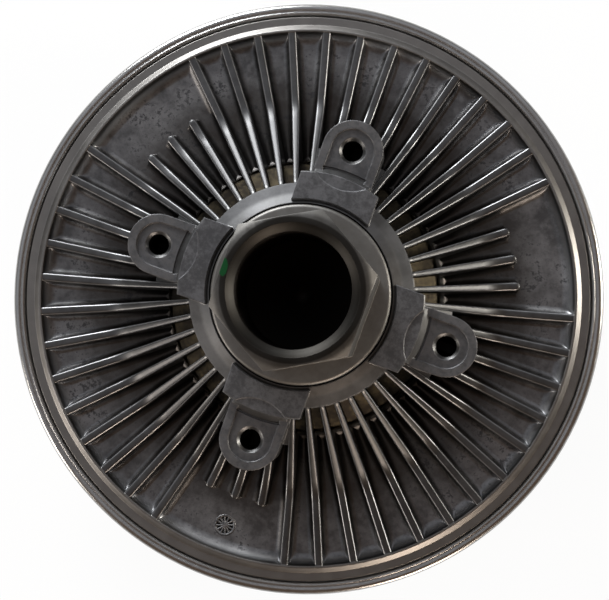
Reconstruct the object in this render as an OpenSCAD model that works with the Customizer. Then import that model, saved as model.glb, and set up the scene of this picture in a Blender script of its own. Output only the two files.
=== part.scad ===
// Viscous fan clutch: a finned die-cast housing that carries the fan, turned through silicone fluid by a
// rotor on the drive shaft. It lies on its front fins. +Z runs along the axis of rotation, from those fins to
// the drive nut.

/* [Rim] */
// Overall diameter over the rolled rim
clutch_d = 204; // [198:1:216]
// Radial thickness of the cover's rim outside the body flange
rim_wall = 2; // [1.6:0.1:3]
// Thickness of the lip that is rolled over the flange
lip_t = 1.6; // [1.2:0.1:2.4]
// Reach of the rolled lip inwards over the flange
lip_reach = 2.3; // [1.8:0.1:3]
// Thickness of the body flange under the lip
flange_t = 6; // [5:0.5:8]
// Width of the sealed joint, from the rotor chamber to the edge of the flange
joint_w = 9.9; // [9:0.1:13]
// Height of the turned land above the flange's shoulder
land_step = 1.2; // [0.8:0.1:2]
// Width of the turned land
land_w = 2.8; // [2:0.1:4]
// Width of the bevel inside the land
bevel_w = 1.7; // [1:0.1:2.5]
// Height of the crest above the land
crest_h = 1.4; // [0.8:0.1:2]
// Width of the crest's flat
crest_w = 0.8; // [0.5:0.1:1.5]

/* [Rear body] */
// Thickness of the floor that the ribs stand on
body_floor_t = 4; // [3:0.5:6]
// Diameter of the tower at its foot, without the fillet
tower_foot_d = 95; // [94:0.5:98]
// Diameter of the tower's shoulder, where its slope turns down to the floor
shoulder_d = 91; // [89:0.5:93]
// Angle of the slope above the shoulder
slope_a = 43.5; // [40:0.5:46]
// Fall of the slope's upper edge below the hub ring's edge
slope_drop = 1.8; // [1.4:0.1:2.4]
// Diameter of the tower's upper edge, where the ribs start
tower_top_d = 74.8; // [74.4:0.2:80]
// Fall of the hub ring's outer edge below the pilot pads
hub_edge_drop = 4; // [3:0.5:6]
// Fall of the hub ring's inner edge below the pilot pads
hub_inner_drop = 1; // [0.6:0.2:2]
// Height of the hub lip behind the bearing
hub_lip_t = 9.5; // [9:0.5:12]
// Wall round the bearing, inside the housing
bearing_wall = 7; // [5:0.5:9]
// Radius of the fillets at the foot of the tower
tower_fillet = 2.5; // [1:0.5:4]
// Radius of the fillet at the foot of the rim
rim_fillet = 1.8; // [0.6:0.2:2.6]

/* [Ribs] */
// Number of rib places round the body
rib_n = 48; // [36:12:60]
// Angle of the first rib
rib_phase = 3; // [0:0.5:7]
// Rib thickness at its root
rib_root_t = 3.1; // [2.4:0.1:3.6]
// Draft of the rib's sides
rib_draft = 1.6; // [0.5:0.1:2]
// Radius at which the rib's top turns up towards the hub
rib_kink_r = 66; // [60:1:70]
// Depth of the rib's top below the rim's crest
rib_drop = 0.2; // [0:0.1:1]
// Rounding of the rib's top edges
rib_edge = 0.7; // [0.3:0.05:0.9]
// Flare at the rib's root
rib_flare = 0.8; // [0.4:0.1:1.2]
// Number of plain windows in the rib pattern
window_n = 3; // [2:1:4]
// Angle of the middle of the first window
window_a = 10.5; // [0:0.5:60]
// Short ribs in each window
window_ribs = 3; // [1:2:5]
// Radius at which the short ribs end
short_rib_r = 73.6; // [72:0.2:78]

/* [Fan mounting] */
// Bolt circle of the fan lugs
fan_pcd = 101.6; // [98:0.2:106]
// Number of fan lugs
lug_n = 4; // [3:1:4]
// Angle of the first lug
lug_a = 70.5; // [0:0.5:90]
// Half width of a lug, and the radius of its end
lug_r = 10.2; // [9.6:0.2:11.4]
// Height of the lug's seat above the floor
lug_h = 26; // [22:1:30]
// Drilled diameter of the tapped fan hole
fan_hole_d = 6.8; // [5:0.1:8.6]
// Depth of the fan hole
fan_hole_depth = 20; // [14:1:22]
// Diameter of the fan hole's countersink
fan_sink_d = 8.9; // [8.8:0.1:10]
// Width of the machined land round the lug's pocket
lug_land_w = 2.9; // [2:0.1:4]
// Depth of the lug's pocket
lug_pocket_h = 0.9; // [0.4:0.1:2]
// Diameter of the pads that centre the fan
pilot_d = 82; // [81:0.2:84]
// Height of the pads above the lug seats
pilot_h = 4; // [3:0.5:6]
// Width of a pad
pad_w = 27; // [23:1:30]
// Width of the slope at the foot of a pad
pad_foot_w = 2; // [1:0.1:2.4]
// Diameter of the round recess that the facing of a lug leaves in its pad
spot_d = 28; // [25:0.5:30]
// Depth of that recess
spot_h = 0.8; // [0.4:0.1:1.5]
// Width of the groove outside that slope
groove_w = 0.6; // [0.4:0.1:1]
// Radius at which the webs beside the lugs end
web_r = 50.5; // [47:0.5:54]

/* [Drive shaft] */
// Width of the drive nut across its flats
nut_af = 46; // [44:1:50]
// Angle of the nut's first corner
nut_a = 10; // [0:1:59]
// Height of the nut's end above the pilot pads
nut_stand = 38; // [32:0.5:42]
// Drilled diameter of the nut's thread
thread_d = 36.4; // [34:0.1:38]
// Depth of the nut's bore, without its drilled point
bore_depth = 40; // [30:1:44]
// Width of the chamfer at the thread's mouth
thread_chamfer = 2.6; // [0.5:0.1:2.6]
// Diameter of the collar under the nut
collar_d = 59.8; // [58:0.2:61]
// Thickness of the collar
collar_t = 7; // [5:0.5:8]
// Rounding of the collar's edge
collar_round = 1.2; // [0.5:0.1:2]
// Height of the collar's face above the pilot pads
collar_stand = 0.4; // [0:0.1:2]
// Gap between the collar and the hub
collar_gap = 0.5; // [0.4:0.1:1.2]
// Diameter of the shaft's shoulder on the bearing
shaft_shoulder_d = 43; // [40:0.5:46]
// Diameter of the shaft's nose, which carries the rotor
nose_d = 25; // [20:0.5:30]
// Diameter of the riveted end of the nose
peen_d = 29; // [28:0.5:32]
// Depth of the recess for the riveted end
peen_t = 1.4; // [1:0.1:2]

/* [Bearing] */
// Bore of the bearing
bearing_bore = 35; // [32:0.5:36]
// Outside diameter of the bearing
bearing_d = 72; // [70:0.5:73]
// Width of the bearing
bearing_w = 27; // [26:0.5:30]
// Diameter of a ball
ball_d = 9.525; // [8:0.025:10]
// Balls in each row
ball_n = 12; // [8:1:13]
// Distance between the two rows
row_gap = 11.2; // [11:0.1:12]
// Depth of the raceways, from the ball's middle to the ring's shoulder
race_shoulder = 3.3; // [3:0.1:3.6]
// Thickness of a bearing seal
bearing_seal_t = 1.2; // [0.8:0.1:1.4]
// Thickness of the bearing's retaining ring
ring_t = 2; // [1.5:0.1:2.5]
// Reach of the retaining ring into its groove
ring_bite = 1.5; // [1:0.1:2]

/* [Rotor] */
// Thickness of the rotor's web
rotor_web_t = 6; // [4:0.5:8]
// Height of the ring lands
ring_land_h = 8; // [5:0.5:10]
// Thickness of a ring land
ring_land_t = 1.6; // [1.2:0.1:2]
// Number of ring lands on the rotor
ring_land_n = 6; // [3:1:6]
// Gap between neighbouring lands, filled with fluid
shear_gap = 0.4; // [0.35:0.05:0.6]
// Gap beyond the ends of the lands
land_end_gap = 0.8; // [0.5:0.1:1.5]
// Gap in front of the rotor
rotor_front_gap = 2; // [1.8:0.1:3]
// Gap between the rotor and the cover's bore
rotor_rim_gap = 1.6; // [1.4:0.1:2.5]
// Diameter of the holes that let fluid through the rotor's web
rotor_hole_d = 8; // [5:0.5:10]

/* [Front cover] */
// Room in front of the cover for the coil, up to the fin tips
coil_room = 10; // [9.5:0.5:14]
// Thickness of the cover's centre
cover_wall = 4; // [3:0.5:6]
// Depth of the fluid reservoir
reservoir_depth = 7; // [6:0.5:10]
// Diameter of the fluid reservoir
reservoir_d = 115; // [110:1:118]
// Width of the ledge that carries the valve plate
ledge_w = 7; // [6.5:0.5:9]
// Thickness of the cover's outer plate
cover_plate_t = 5.2; // [4.8:0.2:6]
// Number of front fins
fin_n = 36; // [24:12:36]
// Thickness of a front fin
fin_t = 2.4; // [1.8:0.1:3]
// Radius at which the front fins start
fin_in_r = 41; // [40.5:0.5:46]
// Thickness of the cover's seal
seal_t = 2.7; // [2.2:0.1:3]

/* [Valve] */
// Thickness of the valve plate
valve_plate_t = 1.2; // [0.8:0.1:1.6]
// Number of valve plate screws
plate_screw_n = 6; // [4:1:8]
// Shank diameter of a valve plate screw
plate_screw_d = 3; // [2.5:0.1:3.5]
// Radius at which the fill holes lie
fill_r = 46; // [40:1:50]
// Diameter of a fill hole
fill_d = 8; // [5:0.5:9]
// Thickness of the valve arm
arm_t = 1.2; // [0.8:0.1:1.5]
// Width of the valve arm
arm_w = 9; // [7:0.5:11]
// Diameter of the valve shaft
valve_shaft_d = 8; // [7:0.5:9]

/* [Coil] */
// Thickness of the bimetal strip
strip_t = 1.1; // [0.8:0.1:1.4]
// Width of the bimetal strip
strip_w = 7; // [5:0.5:7.5]
// Number of turns in the coil, ending in a half turn
coil_turns = 6.5; // [4.5:1:6.5]
// Radius of the coil's first turn
coil_in_r = 6.2; // [6:0.1:8]
// Radius of the coil's last turn
coil_out_r = 28; // [26:0.5:29]

/* [Hidden] */
$fn = 96;

// Clearances: a location fit, a running fit, and a gap between moving faces
fit = 0.02;
running = 0.04;
free_gap = 0.4;
// Overlap that joins two forms of one casting
sink = 0.6;

// Heights from the front fin tips upwards
z_front = coil_room;
z_reservoir = z_front + cover_wall;
z_seat = z_reservoir + reservoir_depth;
z_cover_in = z_seat + valve_plate_t;
z_plate = z_cover_in - cover_plate_t;
z_rotor = z_cover_in + rotor_front_gap;
z_rotor_web = z_rotor + rotor_web_t;
z_rotor_top = z_rotor_web + ring_land_h;
z_body_in = z_rotor_top + land_end_gap;
z_bed = z_body_in + body_floor_t;
z_shoulder = z_body_in + flange_t;
z_lip = z_shoulder + lip_t;
z_land = z_shoulder + land_step;
z_crest = z_land + crest_h;
z_rib = z_crest - rib_drop;
z_lug = z_bed + lug_h;
z_pocket = z_lug - lug_pocket_h;
z_pilot = z_lug + pilot_h;
z_hub_edge = z_pilot - hub_edge_drop;
z_nut = z_pilot + nut_stand;
z_collar = z_pilot + collar_stand;
z_bearing_top = z_pilot - hub_lip_t;
z_bearing = z_bearing_top - bearing_w;
z_groove = z_bearing - ring_t - fit;

// Radii from the rim inwards
rim_r = clutch_d / 2;
flange_r = rim_r - rim_wall;
lip_in_r = flange_r - lip_reach;
seam_w = 0.35;
land_out_r = lip_in_r - seam_w;
land_in_r = land_out_r - land_w;
bevel_in_r = land_in_r - bevel_w;
crest_in_r = bevel_in_r - crest_w;
cavity_r = flange_r - joint_w;
rotor_r = cavity_r - rotor_rim_gap;
seal_r = (cavity_r + flange_r) / 2;
reservoir_r = reservoir_d / 2;
ledge_r = reservoir_r + ledge_w;
screw_r = reservoir_r + ledge_w / 2;
tower_foot_r = tower_foot_d / 2;
tower_top_r = tower_top_d / 2;
hub_bore_r = collar_d / 2 + collar_gap;
pilot_r = pilot_d / 2;
fan_r = fan_pcd / 2;
seat_r = bearing_d / 2;
ball_pitch_r = (bearing_d + bearing_bore) / 4;

// Ring lands: the rotor's rim comes first, then the body's and the rotor's lands take turns inwards
land_pitch = 2 * (ring_land_t + shear_gap);
rotor_rim_t = 2.5;
rotor_rim_in_r = rotor_r - rotor_rim_t;

// Valve arm heights, below the valve plate
z_arm_top = z_seat - 0.6;
z_arm = z_arm_top - arm_t;
z_boss = z_arm - free_gap;

// Points of an arc of radius rho that rounds the corner c of an outline, coming from a and going on to b
arc_steps = 6;
function rounded(a, c, b, rho) =
    let (
        u = (a - c) / norm(a - c),
        v = (b - c) / norm(b - c),
        half = acos(u * v) / 2,
        centre = c + (u + v) / norm(u + v) * rho / sin(half),
        first = c + u * rho / tan(half) - centre,
        sweep = (180 - 2 * half) * sign(cross(u, first))
    )
    [for (i = [0 : arc_steps]) let (t = atan2(first[1], first[0]) + sweep * i / arc_steps)
        centre + rho * [cos(t), sin(t)]];

// A ring about the axis, from z0 to z1
module ring(inner_r, outer_r, z0, z1) {
    rotate_extrude() translate([inner_r, z0]) square([outer_r - inner_r, z1 - z0]);
}

// Copies of a form at equal steps round the axis
module around(count, first = 0) {
    for (i = [0 : count - 1]) rotate([0, 0, first + i * 360 / count]) children();
}

// Section of the rear body: hub, bearing seat, tower, fin floor, rim and the ring lands on its inside
module body_section() {
    foot = [tower_foot_r, z_bed];
    tower_edge = [tower_top_r, z_hub_edge];
    slope_edge = [tower_top_r, z_hub_edge - slope_drop];
    shoulder = slope_edge + (shoulder_d / 2 - tower_top_r) * [1, -tan(slope_a)];
    rim_foot = [crest_in_r, z_bed];
    crest = [crest_in_r, z_crest];
    difference() {
        union() {
            polygon([
                [seat_r + fit, z_groove - ring_t], [seat_r + bearing_wall, z_groove - ring_t],
                [seat_r + bearing_wall, z_body_in], [flange_r - fit, z_body_in], [flange_r - fit, z_shoulder],
                [land_out_r, z_shoulder], [land_out_r, z_land], [land_in_r, z_land],
                [bevel_in_r, z_crest], crest,
                each rounded(crest, rim_foot, foot, rim_fillet),
                each rounded(rim_foot, foot, shoulder, tower_fillet),
                each rounded(foot, shoulder, slope_edge, tower_fillet), slope_edge, tower_edge,
                [hub_bore_r, z_pilot - hub_inner_drop], [hub_bore_r, z_bearing_top],
                [seat_r + fit, z_bearing_top]
            ]);
            for (i = [0 : ring_land_n - 1]) {
                outer_r = rotor_rim_in_r - shear_gap - i * land_pitch;
                translate([outer_r - ring_land_t, z_rotor_web + land_end_gap])
                    square([ring_land_t, ring_land_h + sink]);
            }
        }
        translate([seat_r - sink, z_groove]) square([sink + ring_bite + 2 * fit, z_bearing - z_groove]);
    }
}

// Height of a rib's top: level outside the kink, then a straight climb to just under the hub's edge
rib_in_r = seat_r + sink;
rib_climb = (z_hub_edge - 0.8 - z_rib) / (rib_kink_r - rib_in_r);
kink_blend = 4;
function rib_top(r) = z_rib + max(0, rib_kink_r - r) * rib_climb;

// Half the rib's thickness at height z, thinner upwards by the draft
function rib_half(z) = rib_root_t / 2 - (z - z_bed) * tan(rib_draft);

// Outline of a rib across its length, from one root over the rounded top to the other root
edge_steps = 3;
function rib_outline(top, narrow) =
    let (
        side = concat(
            [
                [rib_half(z_bed) + rib_flare + sink, z_bed - sink],
                [rib_half(z_bed), z_bed + rib_flare]
            ],
            [
                for (i = [0 : edge_steps]) let (t = 90 * i / edge_steps)
                    [rib_half(top) - rib_edge * (1 - cos(t)), top - rib_edge * (1 - sin(t))]
            ]
        ),
        last = len(side) - 1
    )
    [
        for (k = [0 : 2 * last + 1]) let (p = side[min(k, 2 * last + 1 - k)])
            [(k > last ? narrow : -narrow) * p[0], p[1]]
    ];

// A rib lofted through its stations: each a radius, the height of the rib's top, and a share of its width
module rib(stations) {
    outlines = [for (s = stations) rib_outline(s[1], s[2])];
    m = len(outlines[0]);
    last = len(stations) - 1;
    points = [for (s = [0 : last]) for (p = outlines[s]) [stations[s][0], p[0], p[1]]];
    sides = [
        for (s = [0 : last - 1]) for (i = [0 : m - 1])
            let (a = s * m + i, b = s * m + (i + 1) % m)
            each [[a, b, b + m], [a, b + m, a + m]]
    ];
    caps = [
        for (i = [0 : m / 2 - 2])
            let (j = m - 1 - i, e = last * m)
            each [[j, j - 1, i + 1, i], [e + i, e + i + 1, e + j - 1, e + j]]
    ];
    polyhedron(points, concat(sides, caps));
}

rib_start = [
    [rib_in_r, rib_top(rib_in_r), 1],
    [rib_kink_r - kink_blend, rib_top(rib_kink_r - kink_blend), 1],
    [rib_kink_r, z_rib + rib_climb * kink_blend / 4, 1],
    [rib_kink_r + kink_blend, z_rib, 1]
];
long_rib = concat(rib_start, [[crest_in_r + crest_w / 2, z_rib, 1]]);
end_r = rib_root_t / 2;
short_rib = concat(rib_start, [
    for (t = [0, 35, 65, 82]) [short_rib_r - end_r * (1 - sin(t)), z_rib - rib_edge * (1 - cos(t)), cos(t)]
]);

// A rib is short where it stands in a window
function in_window(a) =
    let (period = 360 / window_n, off = (a - window_a + 360 + period / 2) % period - period / 2)
    abs(off) < window_ribs / 2 * 360 / rib_n;

module ribs() {
    for (k = [0 : rib_n - 1]) {
        a = rib_phase + k * 360 / rib_n;
        rotate([0, 0, a]) rib(in_window(a) ? short_rib : long_rib);
    }
}

// A fan lug on the +X side: a round-ended post, with webs that fill the corners to the ribs beside it
web_a = 2 * 360 / rib_n;
lug_in_r = tower_top_r + sink;
module lug_post() {
    foot_z = z_bed - sink;
    web_drop = 0.5;
    translate([fan_r, 0, foot_z]) cylinder(r = lug_r, h = z_lug - foot_z);
    translate([lug_in_r, -lug_r, foot_z]) cube([fan_r - lug_in_r, 2 * lug_r, z_lug - foot_z]);
    rotate([0, 0, -web_a]) rotate_extrude(angle = 2 * web_a) polygon([
        [lug_in_r, foot_z], [web_r, foot_z], [web_r, rib_top(web_r) - web_drop],
        [lug_in_r, rib_top(lug_in_r) - web_drop]
    ]);
}

// A pilot pad on the +X side: it stands on the hub ring and on the webs, with a bevelled outer edge
module pad() {
    edge = 0.4;
    inner_r = hub_bore_r + 1.3;
    foot_z = rib_top(pilot_r) - 2;
    ring_z = z_bearing_top + hub_lip_t / 4;
    intersection() {
        rotate_extrude() polygon([
            [inner_r, ring_z], [lug_in_r, ring_z], [lug_in_r, foot_z], [pilot_r, foot_z],
            [pilot_r, z_pilot - edge], [pilot_r - edge, z_pilot], [inner_r, z_pilot]
        ]);
        translate([0, -pad_w / 2, 0]) cube([pilot_r + sink, pad_w, z_nut]);
    }
}

// The lug's pocket lies open towards the pad; a narrow groove and a slope lead from it to the pad
pocket_r = lug_r - lug_land_w;
groove_h = groove_w;
module pocket() {
    translate([0, 0, z_pocket]) {
        translate([fan_r, 0, 0]) cylinder(r = pocket_r, h = lug_h);
        difference() {
            translate([lug_in_r, -pocket_r, 0]) cube([fan_r - lug_in_r, 2 * pocket_r, lug_h]);
            translate([0, 0, -sink]) cylinder(r = pilot_r, h = lug_h + 2 * sink);
        }
    }
}
module pad_foot() {
    reach = pad_foot_w + sink;
    half_w = lug_r - sink;
    intersection() {
        rotate_extrude() polygon([
            [pilot_r - sink, z_pocket - sink], [pilot_r + reach, z_pocket - sink],
            [pilot_r - sink, z_pocket + reach]
        ]);
        translate([0, -half_w, 0]) cube([fan_r, 2 * half_w, z_nut]);
    }
}
module pad_groove() {
    groove_r = pilot_r + pad_foot_w;
    intersection() {
        ring(groove_r, groove_r + groove_w, z_pocket - groove_h, z_lug + sink);
        translate([0, -pocket_r - sink / 2, 0]) cube([fan_r, 2 * pocket_r + sink, z_nut]);
    }
}
module lug() {
    difference() {
        union() {
            difference() {
                union() {
                    lug_post();
                    pad();
                }
                pocket();
            }
            pad_foot();
        }
        pad_groove();
        translate([fan_r, 0, z_pilot - spot_h]) cylinder(d = spot_d, h = spot_h + sink);
    }
}
module fan_hole() {
    sink_h = (fan_sink_d - fan_hole_d) / 2;
    translate([fan_r, 0, z_pocket - fan_hole_depth]) cylinder(d = fan_hole_d, h = fan_hole_depth + sink);
    translate([fan_r, 0, z_pocket - sink_h]) cylinder(d1 = fan_hole_d, d2 = fan_sink_d, h = sink_h);
}

module rear_body() {
    color("#5b5d60") difference() {
        union() {
            union() {
                rotate_extrude() body_section();
                around(lug_n, lug_a) lug();
            }
            ribs();
        }
        around(lug_n, lug_a) fan_hole();
    }
}

// Section of the front cover: valve bush, reservoir, ledge, rotor chamber, and the rim rolled over the flange
module cover_section() {
    bush_r = valve_shaft_d / 2 + running;
    boss_r = valve_shaft_d / 2 + cover_wall;
    round_r = min(rim_wall, lip_t);
    lip_edge = lip_t / 2;
    lip_mid_r = (lip_in_r + rim_r) / 2 - round_r / 4;
    roll_mark_r = lip_t / 4;
    skirt = 8;
    skirt_top = [rim_r, z_plate + skirt];
    difference() {
        polygon([
            [bush_r, z_front], [reservoir_r + cover_wall / 2, z_front], [ledge_r + cover_wall, z_plate],
            [rim_r - skirt - 1, z_plate], [rim_r - 2, z_plate + skirt / 2], skirt_top,
            each rounded(skirt_top, [rim_r, z_lip], [lip_in_r, z_lip], round_r),
            [lip_in_r + lip_edge, z_lip], [lip_in_r, z_lip - lip_edge], [lip_in_r, z_shoulder],
            [flange_r, z_shoulder], [flange_r, z_body_in], [cavity_r, z_body_in], [cavity_r, z_cover_in],
            [ledge_r, z_cover_in], [ledge_r, z_seat], [reservoir_r, z_seat], [reservoir_r, z_reservoir],
            [boss_r, z_reservoir], [boss_r, z_boss], [bush_r, z_boss]
        ]);
        translate([lip_mid_r, z_lip]) circle(roll_mark_r);
        translate([seal_r - seal_w / 2, z_body_in - seal_room]) square([seal_w, seal_room + sink]);
    }
}
seal_room = seal_t * 0.75;
seal_w = seal_t * 1.25;

// A front fin on the +X side, from the coil's room out to the skirt
module front_fin() {
    tip_in = 3;
    tip_out_r = rim_r - 16;
    shoulder_r = rim_r - 8;
    edge_r = rim_r - 3;
    root = [rim_r - 4, z_plate + 5];
    root_in_r = rim_r - 9;
    top = z_plate + sink;
    translate([0, fin_t / 2, 0]) rotate([90, 0, 0]) linear_extrude(fin_t) polygon([
        [fin_in_r, z_front + sink], [fin_in_r, tip_in], [fin_in_r + tip_in, 0], [tip_out_r, 0],
        [shoulder_r, z_plate / 4], [edge_r, top], root, [root_in_r, top],
        [ledge_r + cover_wall, top], [reservoir_r + cover_wall / 2, z_front + sink]
    ]);
}

// The return passage runs from the rotor chamber's edge back into the reservoir, in a boss between two fins
passage_a = 180 / fin_n;
passage_d = 2.8;
passage_z = z_plate + passage_d * 0.7;
passage_end_r = rim_r - 6;
port_r = rotor_r - passage_d / 2;
plug_d = 4;
module passage_boss() {
    boss_wall = 1.5;
    boss_floor = 1.2;
    boss_w = plug_d + 2 * boss_wall;
    boss_z = passage_z - plug_d / 2 - boss_floor;
    translate([ledge_r, -boss_w / 2, boss_z])
        cube([passage_end_r - ledge_r, boss_w, z_cover_in - boss_z - sink]);
}
module passage_cuts() {
    length = passage_end_r - reservoir_r + 2;
    translate([reservoir_r - 1, 0, passage_z]) rotate([0, 90, 0]) cylinder(d = passage_d, h = length);
    translate([passage_end_r - plug_d, 0, passage_z]) rotate([0, 90, 0])
        cylinder(d = plug_d + fit, h = plug_d + 1);
    translate([port_r, 0, passage_z]) cylinder(d = passage_d, h = z_cover_in - passage_z + 1);
}

module front_cover() {
    color("#66686b") difference() {
        union() {
            rotate_extrude() cover_section();
            around(fin_n) front_fin();
            rotate([0, 0, passage_a]) passage_boss();
        }
        rotate([0, 0, passage_a]) passage_cuts();
        around(plate_screw_n) translate([screw_r, 0, z_seat - screw_l])
            cylinder(d = plate_screw_d + fit, h = z_rotor);
        rotate([0, 0, coil_end_a]) translate([rivet_r, 0, z_front - 1])
            cylinder(d = rivet_d + fit, h = rivet_l + 1);
    }
}

module cover_seal() {
    color("#1d1d1e") rotate_extrude() intersection() {
        translate([seal_r, z_body_in - seal_room / 2]) circle(d = seal_t);
        translate([seal_r - seal_w, z_body_in - seal_room]) square([2 * seal_w, seal_room]);
    }
}

// The shaft is turned from one forging: riveted nose, bearing seat, shoulder, collar and hexagon nut
module drive_shaft() {
    thread_r = thread_d / 2;
    z_bore = z_nut - bore_depth;
    hex_r = nut_af / sqrt(3);
    hex_face_r = nut_af / 2 - 0.2;
    bevel_r = hex_r + 2;
    collar_r = collar_d / 2;
    bore_r = bearing_bore / 2;
    nose_r = nose_d / 2;
    peen_z = z_rotor + fit;
    color("#6f665d") difference() {
        union() {
            rotate_extrude() {
                polygon([
                    [0, peen_z], [peen_d / 2, peen_z], [peen_d / 2, z_rotor + peen_t],
                    [nose_r, z_rotor + peen_t], [nose_r, z_bearing], [bore_r, z_bearing],
                    [bore_r, z_bearing_top],
                    [shaft_shoulder_d / 2, z_bearing_top], [shaft_shoulder_d / 2, z_collar - collar_t],
                    [collar_r, z_collar - collar_t], [collar_r, z_collar - collar_round],
                    [collar_r - collar_round, z_collar], [0, z_collar]
                ]);
                translate([collar_r - collar_round, z_collar - collar_round]) circle(collar_round);
            }
            intersection() {
                rotate([0, 0, nut_a]) translate([0, 0, z_collar - sink])
                    cylinder(r = hex_r, h = z_nut - z_collar + sink, $fn = 6);
                rotate_extrude() polygon([
                    [0, z_bearing_top], [bevel_r, z_bearing_top],
                    [bevel_r, z_nut - (bevel_r - hex_face_r) * tan(30)], [hex_face_r, z_nut], [0, z_nut]
                ]);
            }
        }
        rotate_extrude() polygon([
            [0, z_bore - thread_r * tan(31)], [thread_r, z_bore], [thread_r, z_nut - thread_chamfer],
            [thread_r + thread_chamfer, z_nut], [thread_r + thread_chamfer, z_nut + 1], [0, z_nut + 1]
        ]);
    }
}

// Sealed double-row ball bearing
row_z = [z_bearing + bearing_w / 2 - row_gap / 2, z_bearing + bearing_w / 2 + row_gap / 2];
race_r = ball_d / 2 + running;
inner_shoulder_r = ball_pitch_r - race_shoulder;
outer_shoulder_r = ball_pitch_r + race_shoulder;
seal_seat_r = outer_shoulder_r + 0.8;
seal_inset = 0.3;
module bearing_outer_ring() {
    color("#8f9397") rotate_extrude() difference() {
        translate([outer_shoulder_r, z_bearing]) square([seat_r - outer_shoulder_r, bearing_w]);
        for (z = row_z) translate([ball_pitch_r, z]) circle(race_r);
        for (z = [z_bearing - 1, z_bearing_top - seal_inset - bearing_seal_t])
            translate([outer_shoulder_r - 1, z])
                square([seal_seat_r - outer_shoulder_r + 1, bearing_seal_t + seal_inset + 1]);
    }
}
module bearing_inner_ring() {
    bore_r = bearing_bore / 2 + fit;
    color("#8f9397") rotate_extrude() difference() {
        translate([bore_r, z_bearing]) square([inner_shoulder_r - bore_r, bearing_w]);
        for (z = row_z) translate([ball_pitch_r, z]) circle(race_r);
    }
}
module bearing_balls() {
    color("#b4b8bb") for (z = row_z) around(ball_n) translate([ball_pitch_r, 0, z]) sphere(d = ball_d);
}

// Two crown cages, each with its closed side away from the other row
module bearing_cages() {
    pocket_d = ball_d + 0.2;
    cage_t = 2.5;
    back = ball_d / 2 + 1.2;
    open = 1.5;
    color("#c9c2a5") for (side = [0, 1]) {
        z0 = row_z[side] - (side == 0 ? back : open);
        difference() {
            ring(ball_pitch_r - cage_t / 2, ball_pitch_r + cage_t / 2, z0, z0 + back + open);
            around(ball_n) translate([ball_pitch_r, 0, row_z[side]]) sphere(d = pocket_d);
        }
    }
}
module bearing_seal(z) {
    color("#26272a") ring(inner_shoulder_r + free_gap, seal_seat_r - fit, z, z + bearing_seal_t);
}
module bearing_rear_seal() {
    bearing_seal(z_bearing_top - seal_inset - bearing_seal_t);
}
module bearing_front_seal() {
    bearing_seal(z_bearing + seal_inset);
}

// Sprung ring in the body's groove, open on one side, with an eye at each end
module bearing_retaining_ring() {
    ring_w = 4.5;
    ring_r = seat_r + ring_bite;
    eye_r = 3;
    eye_a = 12;
    open_a = 6;
    z0 = z_bearing - ring_t;
    color("#3c3e42") difference() {
        union() {
            ring(ring_r - ring_w, ring_r, z0, z_bearing);
            for (a = [-eye_a, eye_a])
                rotate([0, 0, a]) translate([ring_r - ring_w, 0, z0]) cylinder(r = eye_r, h = ring_t);
        }
        rotate([0, 0, -open_a]) rotate_extrude(angle = 2 * open_a)
            translate([seat_r / 2, z0 - 1]) square([seat_r, ring_t + 2]);
        for (a = [-eye_a, eye_a])
            rotate([0, 0, a]) translate([ring_r - ring_w, 0, z0 - 1]) cylinder(r = eye_r / 2, h = ring_t + 2);
    }
}

// Clutch disc, riveted on the shaft's nose, with ring lands that run between those of the body
module rotor() {
    nose_r = nose_d / 2 + fit;
    recess_r = peen_d / 2 + fit;
    hub_r = inner_shoulder_r - 1;
    hole_r = (hub_r + rotor_rim_in_r - ring_land_n * land_pitch) / 2;
    color("#77797b") difference() {
        rotate_extrude() {
            polygon([
                [nose_r, z_rotor + peen_t], [recess_r, z_rotor + peen_t], [recess_r, z_rotor],
                [rotor_r, z_rotor], [rotor_r, z_rotor_top], [rotor_rim_in_r, z_rotor_top],
                [rotor_rim_in_r, z_rotor_web], [hub_r, z_rotor_web], [hub_r, z_bearing], [nose_r, z_bearing]
            ]);
            for (i = [0 : ring_land_n - 1]) {
                outer_r = rotor_rim_in_r - shear_gap - (i + 0.5) * land_pitch;
                translate([outer_r - ring_land_t, z_rotor_web - sink])
                    square([ring_land_t, ring_land_h + sink]);
            }
        }
        around(4, 45) translate([hole_r, 0, z_rotor - 1]) cylinder(d = rotor_hole_d, h = rotor_web_t + 2);
    }
}

// Block beside the rotor's edge, on the floor of the rotor chamber, that turns fluid into the return passage
module wiper() {
    arc = 20;
    color("#3a3a3c") rotate([0, 0, passage_a + 2]) rotate_extrude(angle = arc)
        translate([rotor_r + free_gap, z_cover_in])
            square([cavity_r - fit - rotor_r - free_gap, z_rotor_top - z_cover_in]);
}
module passage_plug() {
    color("#9a9da0") rotate([0, 0, passage_a]) translate([passage_end_r - plug_d / 2, 0, passage_z])
        sphere(d = plug_d);
}

// Steel disc on the cover's ledge, with a fill hole under each end of the valve arm
module valve_plate() {
    color("#8a8d8f") difference() {
        translate([0, 0, z_seat]) cylinder(r = ledge_r - fit, h = valve_plate_t);
        around(2, arm_a) translate([fill_r, 0, z_seat - 1]) cylinder(d = fill_d, h = valve_plate_t + 2);
        around(plate_screw_n) translate([screw_r, 0, z_seat - 1])
            cylinder(d = plate_screw_d + 2 * fit, h = valve_plate_t + 2);
    }
}
screw_l = 7;
module valve_plate_screws() {
    head_d = plate_screw_d + 2.2;
    head_h = 1.2;
    drive_h = 0.6;
    color("#4d4f52") around(plate_screw_n) translate([screw_r, 0, z_cover_in]) difference() {
        union() {
            cylinder(d = head_d, h = head_h);
            translate([0, 0, -valve_plate_t - screw_l + 1])
                cylinder(d = plate_screw_d, h = valve_plate_t + screw_l);
        }
        translate([0, 0, head_h - drive_h]) cylinder(d = plate_screw_d * 0.8, h = drive_h + 1, $fn = 6);
    }
}

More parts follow.
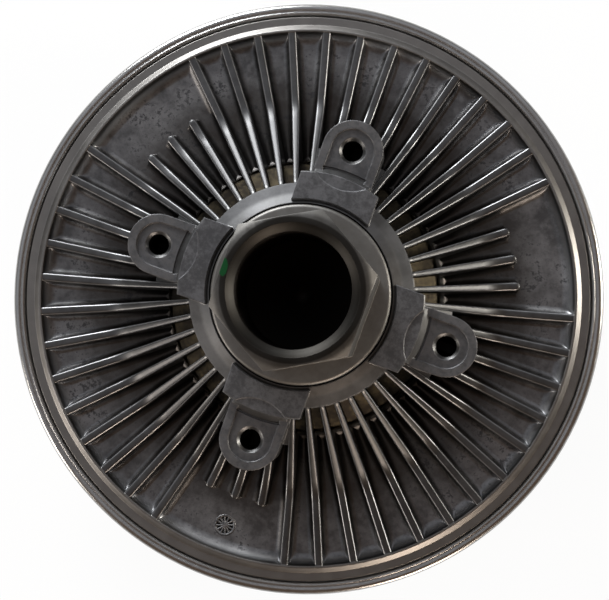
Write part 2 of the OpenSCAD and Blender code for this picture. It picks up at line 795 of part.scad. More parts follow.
// Valve shaft: slotted front end for the coil, thrust collar, seal groove, and a riveted end that holds the
// arm
arm_a = 20;
z_coil = (z_front - strip_w) / 2;
shaft_seal_t = 1.5;
seal_squeeze = 0.3;
z_seal = z_reservoir - shaft_seal_t / 2;
z_seal_top = z_seal + shaft_seal_t;
module valve_shaft() {
    r = valve_shaft_d / 2;
    neck_r = r - 1;
    slot_t = strip_t + 2 * running;
    groove_r = r - shaft_seal_t + seal_squeeze;
    rivet_h = 0.2;
    thrust_t = 0.8;
    thrust_r = r + 1.5;
    z_tip = z_coil - free_gap;
    z_thrust = z_front - free_gap;
    color("#a59a86") difference() {
        rotate_extrude() polygon([
            [0, z_tip], [r, z_tip], [r, z_thrust - thrust_t], [thrust_r, z_thrust - thrust_t],
            [thrust_r, z_thrust], [r, z_thrust], [r, z_seal - fit], [groove_r, z_seal - fit],
            [groove_r, z_seal_top + fit], [r, z_seal_top + fit], [r, z_arm], [neck_r, z_arm],
            [neck_r, z_arm_top], [r, z_arm_top], [r, z_arm_top + rivet_h], [0, z_arm_top + rivet_h]
        ]);
        translate([-2 * r, -slot_t / 2, z_tip - 1]) cube([4 * r, slot_t, z_coil + strip_w + fit - z_tip + 1]);
    }
}
module valve_shaft_seal() {
    r = valve_shaft_d / 2;
    color("#1d1d1e") ring(r - shaft_seal_t + seal_squeeze + fit, r, z_seal, z_seal_top);
}

// Two-ended arm that covers both fill holes when the coil is cold
module valve_arm() {
    paddle_d = fill_d + 5;
    color("#7d7f82") translate([0, 0, z_arm]) rotate([0, 0, arm_a]) difference() {
        union() {
            translate([-fill_r, -arm_w / 2, 0]) cube([2 * fill_r, arm_w, arm_t]);
            around(2) translate([fill_r, 0, 0]) cylinder(d = paddle_d, h = arm_t);
            cylinder(d = valve_shaft_d + arm_w, h = arm_t);
        }
        translate([0, 0, -1]) cylinder(d = valve_shaft_d - 2 + 2 * fit, h = arm_t + 2);
    }
}

// Spiral strip: a straight tang through the shaft's slot, the turns, and a straight end held by the bracket
coil_end_a = 360 * (coil_turns % 1);
coil_tab_r = coil_out_r + 6;
steps_per_turn = 24;
function coil_point(t, side) =
    let (r = coil_in_r + (coil_out_r - coil_in_r) * t + side * strip_t / 2, a = 360 * coil_turns * t)
    [r * cos(a), r * sin(a)];
module bimetal_coil() {
    steps = round(coil_turns * steps_per_turn);
    tang_r = valve_shaft_d / 2 - 0.5;
    color("#8c7f66") translate([0, 0, z_coil]) linear_extrude(strip_w) {
        polygon([
            for (i = [0 : steps]) coil_point(i / steps, 1),
            for (i = [steps : -1 : 0]) coil_point(i / steps, -1)
        ]);
        translate([-tang_r, -strip_t / 2]) square([tang_r + coil_in_r + strip_t / 2, strip_t]);
        rotate(coil_end_a) translate([coil_out_r - strip_t / 2, -strip_t / 2])
            square([coil_tab_r - coil_out_r + strip_t / 2, strip_t]);
    }
}

// Stamped bracket: a base on the cover's face and two ears that hold the coil's outer end between them
bracket_t = 1.2;
rivet_d = 3;
rivet_l = 3;
rivet_r = coil_tab_r + 3.5;
module coil_bracket() {
    base_in_r = coil_out_r + 1.5;
    base_w = 10;
    ear_l = coil_tab_r - base_in_r - 0.5;
    ear_z = z_coil + 0.5;
    color("#77797c") rotate([0, 0, coil_end_a]) difference() {
        union() {
            translate([base_in_r, -base_w / 2, z_front - bracket_t])
                cube([rivet_r + rivet_d - base_in_r, base_w, bracket_t]);
            for (y = [-strip_t / 2 - fit - bracket_t, strip_t / 2 + fit])
                translate([base_in_r, y, ear_z]) cube([ear_l, bracket_t, z_front - ear_z]);
        }
        translate([base_in_r - 1, -strip_t / 2 - fit, ear_z - 1])
            cube([coil_tab_r - base_in_r + 1 + fit, strip_t + 2 * fit, z_coil + strip_w + fit - ear_z + 1]);
        translate([rivet_r, 0, z_front - bracket_t - 1]) cylinder(d = rivet_d + fit, h = bracket_t + 2);
    }
}
module bracket_rivet() {
    head_h = 1;
    color("#9a9da0") rotate([0, 0, coil_end_a]) translate([rivet_r, 0, z_front - bracket_t - head_h]) {
        cylinder(d = rivet_d + 1.8, h = head_h);
        cylinder(d = rivet_d, h = head_h + bracket_t + rivet_l - 0.5);
    }
}

rear_body();
front_cover();
cover_seal();
drive_shaft();
bearing_outer_ring();
bearing_inner_ring();
bearing_balls();
bearing_cages();
bearing_rear_seal();
bearing_front_seal();
bearing_retaining_ring();
rotor();
wiper();
passage_plug();
valve_plate();
valve_plate_screws();
valve_shaft();
valve_shaft_seal();
valve_arm();
bimetal_coil();
coil_bracket();
bracket_rivet();
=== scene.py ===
"""Viscous fan clutch, seen from its rear: ribbed housing, fan lugs, pilot pads and the threaded drive nut."""
import math

import bpy
import numpy as np
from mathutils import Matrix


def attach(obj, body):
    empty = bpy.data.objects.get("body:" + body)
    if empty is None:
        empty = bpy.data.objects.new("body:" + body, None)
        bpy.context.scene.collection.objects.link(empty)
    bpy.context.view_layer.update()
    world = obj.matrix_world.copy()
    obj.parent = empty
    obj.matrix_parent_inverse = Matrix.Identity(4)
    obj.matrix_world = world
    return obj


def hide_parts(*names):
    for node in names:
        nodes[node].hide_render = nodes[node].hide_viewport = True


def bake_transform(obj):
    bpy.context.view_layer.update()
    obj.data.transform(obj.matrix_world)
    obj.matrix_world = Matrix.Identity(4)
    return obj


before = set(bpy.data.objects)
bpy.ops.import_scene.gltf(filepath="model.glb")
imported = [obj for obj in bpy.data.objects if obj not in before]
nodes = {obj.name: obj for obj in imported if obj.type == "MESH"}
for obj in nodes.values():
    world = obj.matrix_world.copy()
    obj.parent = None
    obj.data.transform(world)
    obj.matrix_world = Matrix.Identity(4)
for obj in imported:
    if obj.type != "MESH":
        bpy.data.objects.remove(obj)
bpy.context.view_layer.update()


# Rear body: one aluminium die casting. Its skin is grey and a little cloudy from the die; the pilot pads, the
# lug seats and the rim are turned or faced bright afterwards, and the four lugs are tapped for the fan's bolts.
class Shade:
    """A socket of a material. Arithmetic on it adds Math nodes, and make() adds any other node."""

    def __init__(self, tree, socket):
        self.tree, self.socket = tree, socket

    def make(self, kind, settings=(), sockets=(), out=0):
        """A node of this kind: its settings are set first, then the values or links of its sockets."""
        node = self.tree.nodes.new(kind)
        for name, value in dict(settings).items():
            setattr(node, name, value)
        for key, value in dict(sockets).items():
            if isinstance(value, Shade):
                self.tree.links.new(value.socket, node.inputs[key])
            else:
                node.inputs[key].default_value = value
        return Shade(self.tree, node.outputs[out])

    def math(self, operation, *others):
        return self.make("ShaderNodeMath", {"operation": operation}, dict(enumerate((self, *others))))

    def __add__(self, other):
        return self.math("ADD", other)

    __radd__ = __add__

    def __mul__(self, other):
        return self.math("MULTIPLY", other)

    __rmul__ = __mul__

    def __sub__(self, other):
        return self.math("SUBTRACT", other)

    def __rsub__(self, other):
        return self.math("MULTIPLY", -1.0).math("ADD", other)

    def step(self, low, high):
        """Smooth rise from 0 at low to 1 at high; a fall where low is above high."""
        ends = {"From Min": low, "From Max": high}
        if low > high:
            ends = {"From Min": high, "From Max": low, "To Min": 1.0, "To Max": 0.0}
        return self.make("ShaderNodeMapRange", {"interpolation_type": "SMOOTHSTEP"}, {"Value": self, **ends})

    def between(self, low, high, soft):
        return self.step(low - soft, low + soft) * self.step(high + soft, high - soft)

    def mix(self, first, second):
        """Colour that goes from first to second as this value goes from 0 to 1."""
        return self.make("ShaderNodeMix", {"data_type": "RGBA"}, {0: self, 6: first, 7: second}, 2)

    def noise(self, scale, detail=3.0, rough=0.55):
        """Cloudy value about 0.5 on this vector, with scale in cells per metre."""
        looks = {"Scale": scale, "Detail": detail, "Roughness": rough}
        return self.make("ShaderNodeTexNoise", {}, {"Vector": self, **looks})


def finish_of(name):
    """A new material, its shader, the object-coordinate vector and the surface normal in the object's axes."""
    made = bpy.data.materials.new(name)
    made.use_nodes = True
    tree = made.node_tree
    place = tree.nodes.new("ShaderNodeTexCoord")
    at, facing = (Shade(tree, place.outputs[name]) for name in ("Object", "Normal"))
    return made, tree.nodes["Principled BSDF"], at, facing


def parts_of(vector):
    return [vector.make("ShaderNodeSeparateXYZ", {}, {0: vector}, i) for i in range(3)]


def rgb(red, green, blue):
    return (red, green, blue, 1.0)


def feed(shader, **sockets):
    """Links computed values to the shader's sockets, named with underscores for blanks."""
    for name, value in sockets.items():
        socket = shader.inputs[name.replace("_", " ")]
        if isinstance(value, Shade):
            value.tree.links.new(value.socket, socket)
        else:
            socket.default_value = value


def rounded_normal(place, radius, height, strength, distance):
    """Edges softened over a radius, with a fine relief on top."""
    soft = place.make("ShaderNodeBevel", {"samples": 8}, {"Radius": radius})
    relief = {"Height": height, "Strength": strength, "Distance": distance}
    return place.make("ShaderNodeBump", {}, {**relief, "Normal": soft})


def triangles_of(node):
    """Points and triangles of a node, with the points that lie on each other joined."""
    mesh = nodes[node].data
    points = np.empty(len(mesh.vertices) * 3)
    mesh.vertices.foreach_get("co", points)
    points = points.reshape(-1, 3)
    mesh.calc_loop_triangles()
    corners = np.empty(len(mesh.loop_triangles) * 3, np.int32)
    mesh.loop_triangles.foreach_get("vertices", corners)
    _, first, place = np.unique(np.round(points * 2e5).astype(np.int64), axis=0, return_index=True, return_inverse=True)
    faces = place.reshape(-1)[corners].reshape(-1, 3)
    whole = (faces[:, 0] != faces[:, 1]) & (faces[:, 1] != faces[:, 2]) & (faces[:, 0] != faces[:, 2])
    return points[first], faces[whole]


def tapped_hole(centre, minor, major, low, high, pitch, around):
    """Wall of a tapped hole as a grid of height and turn. The radius goes from minor to major and back once per
    pitch along a right-hand helix, and the thread fades out over the last turn at both ends."""
    turn = np.linspace(0.0, 2 * np.pi, around, endpoint=False)
    height = np.linspace(low, high, int(round((high - low) / pitch * 8)) + 1)
    phase = (height[:, None] / pitch - turn / (2 * np.pi)) % 1.0
    depth = np.clip(1.3 - 2.8 * np.abs(phase - 0.5), 0.0, 1.0)
    fade = np.clip(np.minimum(height - low, high - height) / pitch, 0.0, 1.0)[:, None]
    radius = minor + (major - minor) * depth * fade
    points = np.stack([centre[0] + radius * np.cos(turn), centre[1] + radius * np.sin(turn),
                       np.broadcast_to(height[:, None], radius.shape)], -1).reshape(-1, 3)
    return points, grid_faces(len(height), around, True)


def grid_faces(rows, columns, closed):
    """Triangles of a grid of points, joined round at the end of each row where closed is true."""
    i, j = np.meshgrid(np.arange(rows - 1), np.arange(columns if closed else columns - 1), indexing="ij")
    a, b = (i * columns + j).ravel(), (i * columns + (j + 1) % columns).ravel()
    return np.concatenate([np.stack([a, b + columns, b], -1), np.stack([a, a + columns, b + columns], -1)])


def hollow_fillet(path, away, low, rho, closed=False):
    """Strip along the foot of a wall: at each point of the path a quarter round of radius rho comes down the wall
    and runs out on the floor along the vector away. Both ends are sunk by a hair."""
    slope = np.radians(np.linspace(0.0, 86.0, 11))[:, None, None]
    out = rho * (1 - np.sin(slope)) - 0.03 * MM
    rise = np.broadcast_to(low + rho * (1 - np.cos(slope)) - 0.02 * MM, (len(slope), len(path), 1))
    points = np.concatenate([path + away * out, rise], -1).reshape(-1, 3)
    return points, grid_faces(len(slope), len(path), closed)


def put(name, meshes, body, finish, smooth_up_to):
    """A piece made of several sets of points and triangles, smooth up to an angle, on one body or on none yet."""
    start = np.cumsum([0] + [len(points) for points, _ in meshes])
    points = np.concatenate([points for points, _ in meshes])
    faces = np.concatenate([faces + s for (_, faces), s in zip(meshes, start)])
    mesh = bpy.data.meshes.new(name)
    mesh.from_pydata(points.tolist(), [], faces.tolist())
    mesh.polygons.foreach_set("use_smooth", np.ones(len(faces), bool))
    mesh.set_sharp_from_angle(angle=math.radians(smooth_up_to))
    mesh.materials.append(finish)
    thing = bpy.data.objects.new(name, mesh)
    bpy.context.scene.collection.objects.link(thing)
    even = thing.modifiers.new("even", "WEIGHTED_NORMAL")
    even.keep_sharp = True
    if body:
        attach(thing, body)
    return thing


MM = 0.001
cast_finish, shader, at, facing = finish_of("cast_body")
x, y, z = parts_of(at)
nx, ny, up = parts_of(facing)
radius = (x * x + y * y).math("SQRT")
sideways = (x * ny - y * nx).math("DIVIDE", radius).math("ABSOLUTE")
level = up.step(0.93, 0.985)
lug_centres = [(50.8 * MM * math.cos(math.radians(a)), 50.8 * MM * math.sin(math.radians(a)))
               for a in (70.5, 160.5, 250.5, 340.5)]
to_lug = None
for cx, cy in lug_centres:
    far = ((x - cx) * (x - cx) + (y - cy) * (y - cy)).math("SQRT")
    to_lug = far if to_lug is None else to_lug.math("MINIMUM", far)
# Painted shade: inside the tapped fan holes the metal is painted nearly black and made less metallic.
hole = to_lug.step(4.15 * MM, 4.05 * MM) * z.step(67.2 * MM, 66.2 * MM)
pads = level * z.step(72.0 * MM, 72.15 * MM)
seats = level * z.between(68.0 * MM, 69.1 * MM, 0.1 * MM) * to_lug.step(15 * MM, 13 * MM)
rim = radius.step(91.6 * MM, 92.0 * MM)
faced = (pads + seats + rim).math("MINIMUM", 1.0)
cloud = at.noise(55, 4.0)
blotch = at.noise(170, 4.0, 0.65)
speck = at.noise(800, 3.0, 0.65)
grain = at.noise(2600, 2.0)
patch = (cloud * 0.4 + blotch * 0.45 + speck * 0.15).step(0.38, 0.62)
bed = z.step(46.0 * MM, 44.5 * MM)
# Painted shade and light on the floor between the ribs: it is painted darker toward the hub tower, where the ribs shade
# it, and much lighter toward the rim.
bed_painted_light = radius.step(66 * MM, 88 * MM)
stain = bed * (blotch * 0.4 + speck * 0.6).step(0.5, 0.62) * cloud.step(0.42, 0.6)
slope_fall = math.tan(math.radians(43.5))
# Painted shade: the slope of the hub tower in the deep gaps between the ribs is painted near black.
root_shade = radius.between(37.6 * MM, 46.4 * MM, 0.3 * MM) * z.step(50.0 * MM, 52.0 * MM)
root_shade = root_shade * (z + radius * slope_fall).step(101.5 * MM, 99.5 * MM)
ribs = radius.between(38.2 * MM, 92.0 * MM, 0.4 * MM) * z.between(46.55 * MM, 66.8 * MM, 0.15 * MM)
rib_tops = ribs * sideways.step(0.4, 0.1)
rib_edge_highlight = ribs * sideways.between(0.45, 0.88, 0.14)
hub = radius.step(38.0 * MM, 37.6 * MM) * z.between(66.0 * MM, 70.6 * MM, 0.4 * MM)
cast_colour = patch.mix(rgb(0.115, 0.114, 0.112), rgb(0.144, 0.144, 0.145))
# Painted shade: the flat tops of the ribs are painted darker than their sides, and darker still where they climb to the
# hub.
climb_shade = z.step(48.0 * MM, 51.0 * MM) * 0.45
shaded_top_colour = climb_shade.mix(patch.mix(rgb(0.075, 0.074, 0.074), rgb(0.105, 0.105, 0.106)), rgb(0.02, 0.02, 0.02))
cast_colour = rib_tops.mix(cast_colour, shaded_top_colour)
# Painted highlight: the rounded edges of the ribs are painted light, as a bright line along each edge.
cast_colour = rib_edge_highlight.mix(cast_colour, rgb(0.23, 0.23, 0.235))
cast_colour = hub.mix(cast_colour, patch.mix(rgb(0.07, 0.07, 0.071), rgb(0.115, 0.115, 0.117)))
# Floor colour with painted shade near the tower and painted light toward the rim.
bed_colour = bed_painted_light.mix(patch.mix(rgb(0.052, 0.046, 0.042), rgb(0.085, 0.081, 0.078)),
                       patch.mix(rgb(0.112, 0.111, 0.112), rgb(0.29, 0.288, 0.29)))
bed_colour = (stain * 0.75).mix(bed_colour, rgb(0.036, 0.036, 0.038))
# Painted highlight: the cove at the outer end of each cell is painted much lighter.
scoop_highlight = radius.step(87.6 * MM, 90.0 * MM) * z.step(43.15 * MM, 44.6 * MM)
bed_colour = scoop_highlight.mix(bed_colour, rgb(0.36, 0.365, 0.375))
# The painted shade in those gaps, near black and mottled a little lighter.
mottle = (blotch * 0.6 + speck * 0.4).step(0.42, 0.62)
root_shade_colour = mottle.mix(rgb(0.008, 0.0065, 0.005), rgb(0.026, 0.021, 0.013))
cast_colour = root_shade.mix(bed.mix(cast_colour, bed_colour), root_shade_colour)
rings = ((radius * (2 * math.pi / (0.42 * MM))).math("SINE") + 1) * 0.5
turned = (rings * 0.3 + blotch * 0.7).step(0.3, 0.75)
scuff = (blotch * 0.45 + speck * 0.4 + cloud * 0.15).step(0.4, 0.6)
faced_colour = rim.mix(scuff.mix(rgb(0.095, 0.095, 0.098), rgb(0.158, 0.158, 0.164)),
                       turned.mix(rgb(0.18, 0.172, 0.163), rgb(0.21, 0.202, 0.192)))
faced_colour = (seats * speck.step(0.4, 0.65) * 0.4).mix(faced_colour, rgb(0.11, 0.102, 0.094))
rough = 0.44 - z.step(44.5 * MM, 46.5 * MM) * 0.05 + pads * 0.16 + seats * 0.16 + hub * 0.2
feed(
    shader,
    Base_Color=hole.mix(faced.mix(cast_colour, faced_colour), rgb(0.019, 0.018, 0.017)),
    Roughness=rough + (grain - 0.5) * 0.08 + (patch - 0.5) * 0.06,
    Metallic=1.0 - hole * 0.3,
    Normal=rounded_normal(at, 0.5 * MM, grain * (1 - rim) + rings * faced * 0.2, 0.05, 0.05 * MM),
)
points, faces = triangles_of("rear_body")
far, high = np.hypot(points[:, 0], points[:, 1]) / MM, points[:, 2] / MM
on_slope = (far > 37.35) & (far < 45.0) & (np.abs(high - 67.2 + (far - 37.4) * slope_fall) < 0.06)
on_shoulder = (far > 44.8) & (far < 45.65) & (high > 58.55) & (high < 60.2)
gap_drop = 5.0 * MM
points[on_slope | on_shoulder, 2] -= gap_drop
lug_wall = np.zeros(len(points), bool)
fan_threads = []
for cx, cy in lug_centres:
    far = np.hypot(points[:, 0] - cx, points[:, 1] - cy)
    lug_wall |= (np.abs(far - 3.4 * MM) < 0.03 * MM) & (points[:, 2] > 48.0 * MM) & (points[:, 2] < 67.1 * MM)
    fan_threads.append(tapped_hole((cx, cy), 3.4 * MM, 4.0 * MM, 48.1 * MM, 67.05 * MM, 1.25 * MM, 40))
open_skin = faces[~lug_wall[faces].all(axis=1)]
body_skin = put("rear_body_skin", [(points, open_skin), *fan_threads], "housing", cast_finish, 32)
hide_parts("rear_body")
turn = np.linspace(0.0, 2 * np.pi, 360, endpoint=False)
spoke = np.stack([np.cos(turn), np.sin(turn)], -1)
bed_z, crest_in, rib_half = 43.0 * MM, 92.05 * MM, 1.5 * MM
coves = [hollow_fillet(spoke * crest_in, -spoke, bed_z, 4.2 * MM, closed=True)]
for rib in np.radians(3.0 + 7.5 * np.arange(48)):
    along, across = np.array([np.cos(rib), np.sin(rib)]), np.array([-np.sin(rib), np.cos(rib)])
    in_window = abs((np.degrees(rib) - 10.5 + 60.0) % 120.0 - 60.0) < 11.0
    for side in (1, -1):
        ends = np.array([48.0, 72.4 if in_window else 92.0])[::side, None] * MM
        away = np.repeat(side * across[None], 2, 0)
        coves.append(hollow_fillet(ends * along + away * rib_half, away, bed_z, 2.4 * MM))
put("rib_fillets", coves, "housing", cast_finish, 50)


# Casting mark: a small raised wheel of plain spokes on the floor of the lower window. The die leaves it there, in
# the body's own metal.
def casting_wheel(centre, outer, low, relief):
    """Disc as a polar grid. Its height is the relief on a rim band, a hub and twelve spokes, and falls below the
    floor at its edge."""
    turn = np.linspace(0.0, 2 * np.pi, 144, endpoint=False)
    reach = np.linspace(0.02, 1.0, 30)[:, None]
    band = np.exp(-(((reach - 0.86) / 0.07) ** 4)) + 0 * turn
    hub = np.exp(-((reach / 0.2) ** 4)) + 0 * turn
    spoke = np.clip(1.6 - np.abs(np.sin(6 * turn)) * reach * 5.0, 0.0, 1.0) * (reach < 0.84)
    height = low + relief * np.maximum(np.maximum(band, hub), spoke)
    height = np.where(reach > 0.97, low - relief, height)
    points = np.stack([centre[0] + outer * reach * np.cos(turn), centre[1] + outer * reach * np.sin(turn), height], -1)
    rows, around = points.shape[:2]
    points = np.append(points.reshape(-1, 3), [[centre[0], centre[1], low + relief]], 0)
    first = np.arange(around)
    middle = np.stack([np.full(around, len(points) - 1), first, (first + 1) % around], -1)
    return points, np.concatenate([grid_faces(rows, around, True), middle])


wheel = casting_wheel((-28.0 * MM, -78.7 * MM), 3.9 * MM, bed_z, 0.22 * MM)
put("casting_mark", [wheel], "housing", cast_finish, 50)

# Drive shaft: one steel forging, turned all over, with a warm film of oxide and oil. Its hexagon takes the
# spanner, the bore is threaded for the pump's shaft, and a dab of green paint shows that it was inspected.
shaft_finish, shader, at, _ = finish_of("forged_steel")
x, y, z = parts_of(at)
radius = (x * x + y * y).math("SQRT")
mottle = (at.noise(120, 4.0) * 0.7 + at.noise(700, 2.0) * 0.3).step(0.3, 0.7)
flats = mottle.mix(rgb(0.122, 0.116, 0.108), rgb(0.152, 0.148, 0.14))
collar = mottle.mix(rgb(0.165, 0.158, 0.147), rgb(0.205, 0.2, 0.19))
end_face_shade = mottle.mix(rgb(0.055, 0.052, 0.048), rgb(0.08, 0.077, 0.073))
steel_colour = z.step(78 * MM, 72 * MM).mix(flats, collar)
# Painted shade: the nut's end face is painted darker than its flats.
steel_colour = z.step(109.6 * MM, 110.7 * MM).mix(steel_colour, end_face_shade)
rings = ((radius * (2 * math.pi / (0.5 * MM))).math("SINE") + 1) * 0.5
grain = at.noise(2200, 2.0)
bore = radius.step(19.2 * MM, 19.1 * MM) * z.step(108.5 * MM, 108.0 * MM)
mouth = radius.step(22.9 * MM, 22.3 * MM) * z.step(107.5 * MM, 108.3 * MM)
dab_x, dab_y = x + 21.3 * MM, y - 7.2 * MM
ragged = (at.noise(500, 3.0) - 0.5) * (1.6 * MM)
dab_far = (dab_x * dab_x * 2.2 + dab_y * dab_y * 0.5).math("SQRT") + ragged
dab = dab_far.step(2.3 * MM, 2.0 * MM) * z.step(108.0 * MM, 108.5 * MM) * radius.step(20.9 * MM, 21.1 * MM)
# Painted shade: the threaded bore is painted nearly black, and the chamfer at its mouth is painted nearly as dark.
metal = bore.mix(steel_colour, rgb(0.016, 0.014, 0.0125))
metal = (mouth * 0.85).mix(metal, rgb(0.016, 0.0145, 0.0125))
feed(
    shader,
    Base_Color=dab.mix(metal, rgb(0.003, 0.045, 0.012)),
    Roughness=0.5 + (grain - 0.5) * 0.08,
    Metallic=(1.0 - bore * 0.3) * (1 - dab),
    Normal=rounded_normal(at, 0.35 * MM, grain * 0.6 + rings * 0.4, 0.04, 0.06 * MM),
)
shader.inputs["Specular IOR Level"].default_value = 0.12
points, faces = triangles_of("drive_shaft")
far = np.hypot(points[:, 0], points[:, 1])
bore_wall = (np.abs(far - 18.2 * MM) < 0.03 * MM) & (points[:, 2] > 70.9 * MM) & (points[:, 2] < 108.45 * MM)
open_skin = faces[~bore_wall[faces].all(axis=1)]
nut_thread = tapped_hole((0.0, 0.0), 18.2 * MM, 19.1 * MM, 71.0 * MM, 108.4 * MM, 1.5 * MM, 144)
shaft_skin = put("drive_shaft_skin", [(points, open_skin), nut_thread], "shaft", shaft_finish, 32)
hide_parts("drive_shaft")

# Front cover: an aluminium die casting as well, turned on its outside. Its rim is rolled over the body's flange,
# which leaves the outer ring smooth; the ring is painted much lighter, as a painted reflection.
cover_finish, shader, at, _ = finish_of("cast_cover")
x, y, z = parts_of(at)
radius = (x * x + y * y).math("SQRT")
band = radius.step(96.8 * MM, 97.2 * MM) * z.step(30 * MM, 31 * MM)
# Painted reflection: the rolled outer ring is painted much lighter than the rest of the cover.
rolled = band * z.step(41 * MM, 45 * MM)
cloud = (at.noise(60, 4.0) * 0.6 + at.noise(300, 3.0) * 0.4).step(0.35, 0.65)
grain = at.noise(2600, 2.0)
feed(
    shader,
    Base_Color=rolled.mix(band.mix(cloud.mix(rgb(0.112, 0.111, 0.109), rgb(0.147, 0.147, 0.148)),
                                   cloud.mix(rgb(0.15, 0.148, 0.145), rgb(0.175, 0.173, 0.17))),
                          cloud.mix(rgb(0.34, 0.335, 0.325), rgb(0.4, 0.395, 0.385))),
    Roughness=0.3 - band * 0.08 + (grain - 0.5) * 0.08,
    Metallic=1.0,
    Normal=rounded_normal(at, 1.2 * MM, grain * (1 - band), 0.05, 0.05 * MM),
)
cover_skin = put("front_cover_skin", [triangles_of("front_cover")], "housing", cover_finish, 32)
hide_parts("front_cover")


# Clutch disc, bearing, sprung ring and valve pieces: cast, bought-in or pressed parts, each with its own cast,
# ground, rolled, blackened or moulded surface.
def plain_finish(name, dark, light, rough, metallic, scale, *wearers):
    """Surface that drifts between two colours in a fine cloud, with the roughness following it."""
    made, shader, place, _ = finish_of(name)
    drift = (place.noise(scale, 3.0) * 0.6 + place.noise(scale * 6, 2.0) * 0.4).step(0.3, 0.7)
    feed(
        shader,
        Base_Color=drift.mix(dark, light),
        Roughness=rough + (drift - 0.5) * 0.15,
        Metallic=metallic,
        Normal=rounded_normal(place, 0.2 * MM, drift, 0.08, 0.05 * MM),
    )
    for node in wearers:
        nodes[node].data.materials.clear()
        nodes[node].data.materials.append(made)
    return made


plain_finish("cast_rotor", rgb(0.13, 0.129, 0.128), rgb(0.16, 0.16, 0.162), 0.32, 1.0, 200, "rotor")
plain_finish("bearing_steel", rgb(0.3, 0.31, 0.32), rgb(0.4, 0.41, 0.42), 0.2, 1.0, 300,
             "bearing_outer_ring", "bearing_inner_ring", "bearing_balls", "passage_plug", "bracket_rivet")
plain_finish("spring_steel", rgb(0.04, 0.041, 0.044), rgb(0.075, 0.076, 0.08), 0.4, 0.9, 250,
             "bearing_retaining_ring", "wiper", "valve_plate_screws")
plain_finish("pressed_steel", rgb(0.2, 0.2, 0.203), rgb(0.28, 0.28, 0.285), 0.32, 1.0, 200,
             "valve_plate", "valve_shaft", "valve_arm", "coil_bracket")
plain_finish("rubber", rgb(0.012, 0.012, 0.012), rgb(0.028, 0.028, 0.029), 0.6, 0.0, 400,
             "cover_seal", "valve_shaft_seal", "bearing_rear_seal", "bearing_front_seal")
plain_finish("polyamide", rgb(0.6, 0.55, 0.42), rgb(0.7, 0.65, 0.52), 0.5, 0.0, 300, "bearing_cages")


# Bimetal coil: one rolled strip of two metals, wound on edge. Its outer end is held in the bracket on the cover. The
# tang at its inner end sits in the valve shaft's slot; in the real coil it turns with it as the first quarter turn
# flexes. Here that quarter turn is a piece of its own, on no body, and doesn't flex.
def wound_edges(first, last, rows):
    """Inner and outer edge of the strip in plan, in mm, between two counts of turns: a spiral whose radius grows
    evenly from 6.2 to 28 over six and a half turns."""
    turns = np.linspace(first, last, rows)[:, None]
    spoke = np.hstack([np.cos(2 * np.pi * turns), np.sin(2 * np.pi * turns)])
    middle = 6.2 + 21.8 * turns / 6.5
    return (middle - 0.55) * spoke, (middle + 0.55) * spoke


def standing_strip(inner, outer):
    """Strip 7 mm wide that stands on edge between two lines in plan, as a grid of four corners along the lines,
    closed at both ends."""
    rows = len(inner)
    low, high = np.full((rows, 1), 1.5), np.full((rows, 1), 8.5)
    corners = [np.hstack(pair) for pair in ((inner, low), (outer, low), (outer, high), (inner, high))]
    end = 4 * (rows - 1)
    caps = np.array([[0, 1, 2], [0, 2, 3], [end, end + 2, end + 1], [end, end + 3, end + 2]])
    return np.stack(corners, 1).reshape(-1, 3) * MM, np.concatenate([grid_faces(rows, 4, True), caps])


bimetal = plain_finish("bimetal", rgb(0.2, 0.16, 0.105), rgb(0.3, 0.26, 0.19), 0.3, 1.0, 150, "bimetal_coil")
inner, outer = wound_edges(0.25, 6.5 - 3 / 360, 361)
inner_tab, outer_tab = [(-27.45, -0.55), (-34.0, -0.55)], [(-28.55, 0.55), (-34.0, 0.55)]
wind = standing_strip(np.vstack([inner, inner_tab]), np.vstack([outer, outer_tab]))
coil_wind = put("bimetal_coil_wind", [wind], "housing", bimetal, 32)
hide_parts("bimetal_coil")
inner, outer = wound_edges(1 / 24, 0.25, 16)
tang = np.array([(-3.5, 0.55), (0.0, 0.55), (5.65, 0.55)])
lead = standing_strip(np.vstack([tang, inner]), np.vstack([tang * (1, -1) + [(0, 0), (0, 0), (1.1, 0)], outer]))
coil_lead = put("bimetal_coil_lead", [lead], None, bimetal, 32)
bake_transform(coil_lead)

# Floor and light: a plain white sweep in a grey room, with four soft lamps low around the part, the largest behind.
reach = 3.0
floor_mesh = bpy.data.meshes.new("floor")
corners = [(-reach, -reach, 0), (reach, -reach, 0), (reach, reach, 0), (-reach, reach, 0)]
floor_mesh.from_pydata(corners, [], [(0, 1, 2, 3)])
floor = bpy.data.objects.new("floor", floor_mesh)
bpy.context.scene.collection.objects.link(floor)
floor_finish = bpy.data.materials.new("floor")
floor_finish.use_nodes = True
tree = floor_finish.node_tree
rays = tree.nodes.new("ShaderNodeLightPath")
seen = Shade(tree, rays.outputs["Is Camera Ray"]) + Shade(tree, rays.outputs["Is Glossy Ray"])
glow = seen.make("ShaderNodeEmission", {}, {"Color": rgb(1, 1, 1), "Strength": 1.0})
paint = tree.nodes["Principled BSDF"]
paint.inputs["Base Color"].default_value = rgb(0.9, 0.9, 0.9)
paint.inputs["Roughness"].default_value = 0.9
share = seen.math("MINIMUM", 1.0) * 0.94
lit = seen.make("ShaderNodeMixShader", {}, {0: share, 1: Shade(tree, paint.outputs[0]), 2: glow})
tree.links.new(lit.socket, tree.nodes["Material Output"].inputs["Surface"])
floor_mesh.materials.append(floor_finish)

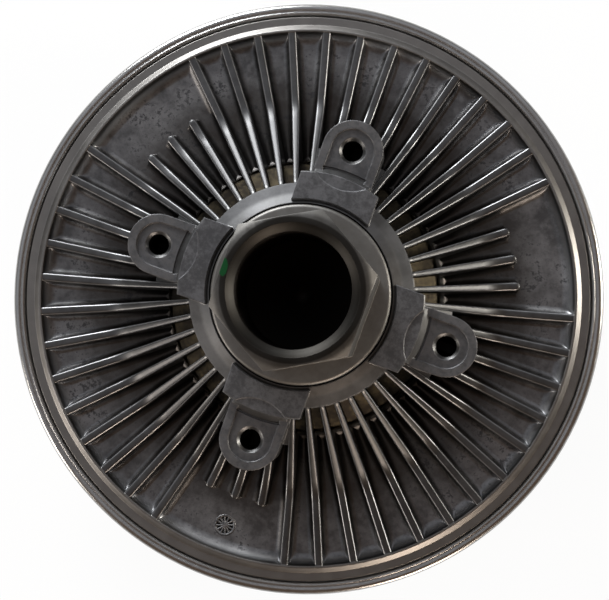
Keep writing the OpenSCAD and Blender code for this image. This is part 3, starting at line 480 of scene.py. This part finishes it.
world = bpy.data.worlds.new("studio")
bpy.context.scene.world = world
world.use_nodes = True
tree = world.node_tree
way = Shade(tree, tree.nodes.new("ShaderNodeTexCoord").outputs["Generated"])
wx, wy, wz = parts_of(way)
across = (wx * -0.5 + wy * 0.85).step(-0.14, 0.2)
above = across.mix(rgb(0.16, 0.108, 0.076), rgb(0.5, 0.512, 0.552))
walls = across.mix(rgb(0.19, 0.16, 0.14), rgb(0.256, 0.256, 0.266))
room = wz.step(0.7, 0.3).mix(above, walls)
rays = tree.nodes.new("ShaderNodeLightPath")
tint = Shade(tree, rays.outputs["Is Camera Ray"]).mix(room, rgb(1, 1, 1))
tree.links.new(tint.socket, tree.nodes["Background"].inputs["Color"])


def lamp_at(name, turn, rise, far, size, power, colour):
    """A soft lamp at a turn about the axis and a rise above the floor, both in degrees, aimed at the part."""
    lamp = bpy.data.lights.new(name, "AREA")
    lamp.shape, lamp.size, lamp.energy, lamp.color = "DISK", size, power, colour
    thing = bpy.data.objects.new(name, lamp)
    bpy.context.scene.collection.objects.link(thing)
    a, e = math.radians(turn), math.radians(rise)
    away = np.array([math.cos(e) * math.cos(a), math.cos(e) * math.sin(a), math.sin(e)])
    thing.location = (0, 0, 0.05) + far * away
    thing.rotation_euler = (math.acos(away[2]), 0.0, math.atan2(away[0], -away[1]))


lamp_at("back_lamp", 112, 17, 1.3, 0.65, 25.0, (0.96, 0.98, 1.0))
lamp_at("right_lamp", 6, 13, 1.3, 0.4, 12.0, (1.0, 0.95, 0.86))
lamp_at("front_lamp", 290, 15, 1.3, 0.5, 8.0, (1.0, 0.84, 0.7))
lamp_at("left_lamp", 205, 17, 1.3, 0.45, 7.0, (1.0, 0.92, 0.84))

camera = bpy.data.cameras.new("photo_camera")
camera.lens, camera.sensor_width = 97.7425, 36.0
holder = bpy.data.objects.new("photo_camera", camera)
holder.location = (0.035687, -0.020153, 0.614992)
holder.rotation_euler = tuple(math.radians(a) for a in (1.94623, 3.61928, 0.11192))
bpy.context.scene.collection.objects.link(holder)
bpy.context.scene.camera = holder
bpy.context.scene.view_settings.view_transform = "Standard"
